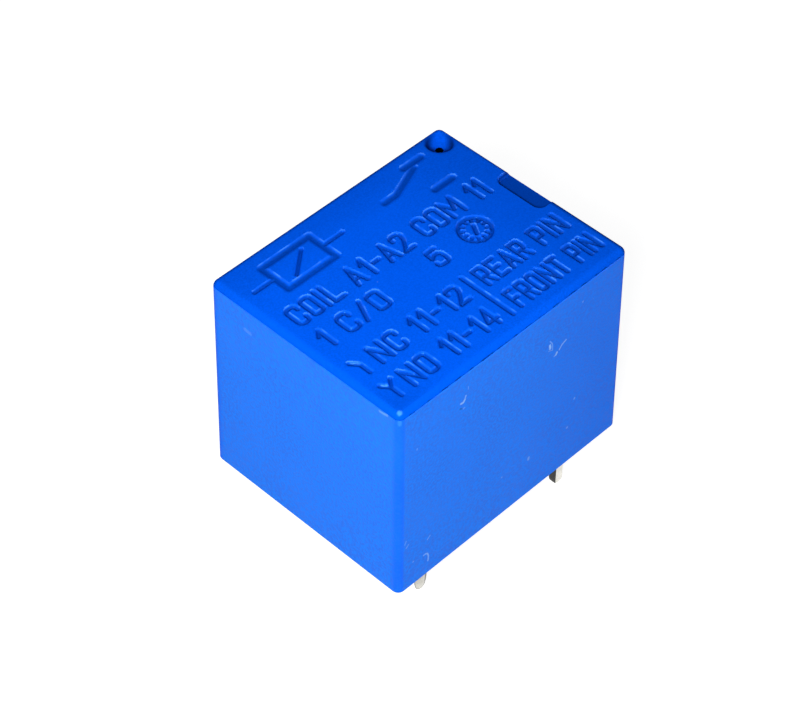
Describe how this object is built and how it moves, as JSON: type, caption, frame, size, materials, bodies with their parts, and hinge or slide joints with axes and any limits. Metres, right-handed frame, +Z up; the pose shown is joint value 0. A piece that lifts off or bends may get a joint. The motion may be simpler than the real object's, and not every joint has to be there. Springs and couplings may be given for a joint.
{
  "type": "sealed circuit board relay",
  "caption": "Cube-shaped sealed relay for a circuit board: a drafted plastic case over a clapper magnet that moves a changeover contact, with tinned pins below.",
  "frame": {"origin": "centre of the base's pad, in the plane of the case's rim, where the board's face comes", "axes": "+X towards the hinge end with the notch and the common pin, +Y towards the vent's side, +Z up from the board"},
  "size_m": [0.0192, 0.0154, 0.0191],
  "materials": {
    "case_blue": "fine matt, smoother roof",
    "base_blue": "matt",
    "resin": "cast, glossy",
    "bobbin_black": "matt",
    "copper": "enamelled wire",
    "steel": "plated soft iron",
    "bronze": "rolled strip",
    "silver": "contact alloy",
    "tin": "tinned",
    "solder": "solder"
  },
  "bodies": {
    "fixed_parts": {"cover": "case_blue", "base": "base_blue", "sealing_resin": "resin", "bobbin": "bobbin_black", "winding": "copper", "core": "steel", "yoke": "steel", "com_terminal": "tin", "no_terminal": "tin", "no_contact": "silver", "nc_terminal": "tin", "nc_contact": "silver", "coil_pin_front": "tin", "coil_pin_rear": "tin", "coil_lead_front": "copper", "coil_lead_rear": "copper", "solder_front": "solder", "solder_rear": "solder"},
    "armature_group": {"armature": "steel", "contact_spring": "bronze", "moving_contact": "silver"}
  },
  "joints": [
    {"name": "armature_hinge", "type": "hinge", "parent": "fixed_parts", "child": "armature_group", "pos_m": [0.00719, 0, 0.01101], "axis": [0, -1, 0], "range_deg": [0, 2.5], "stiffness_Nm_per_rad": 0.045, "springref_deg": -2.52, "deforming": ["contact_spring"]}
  ]
}
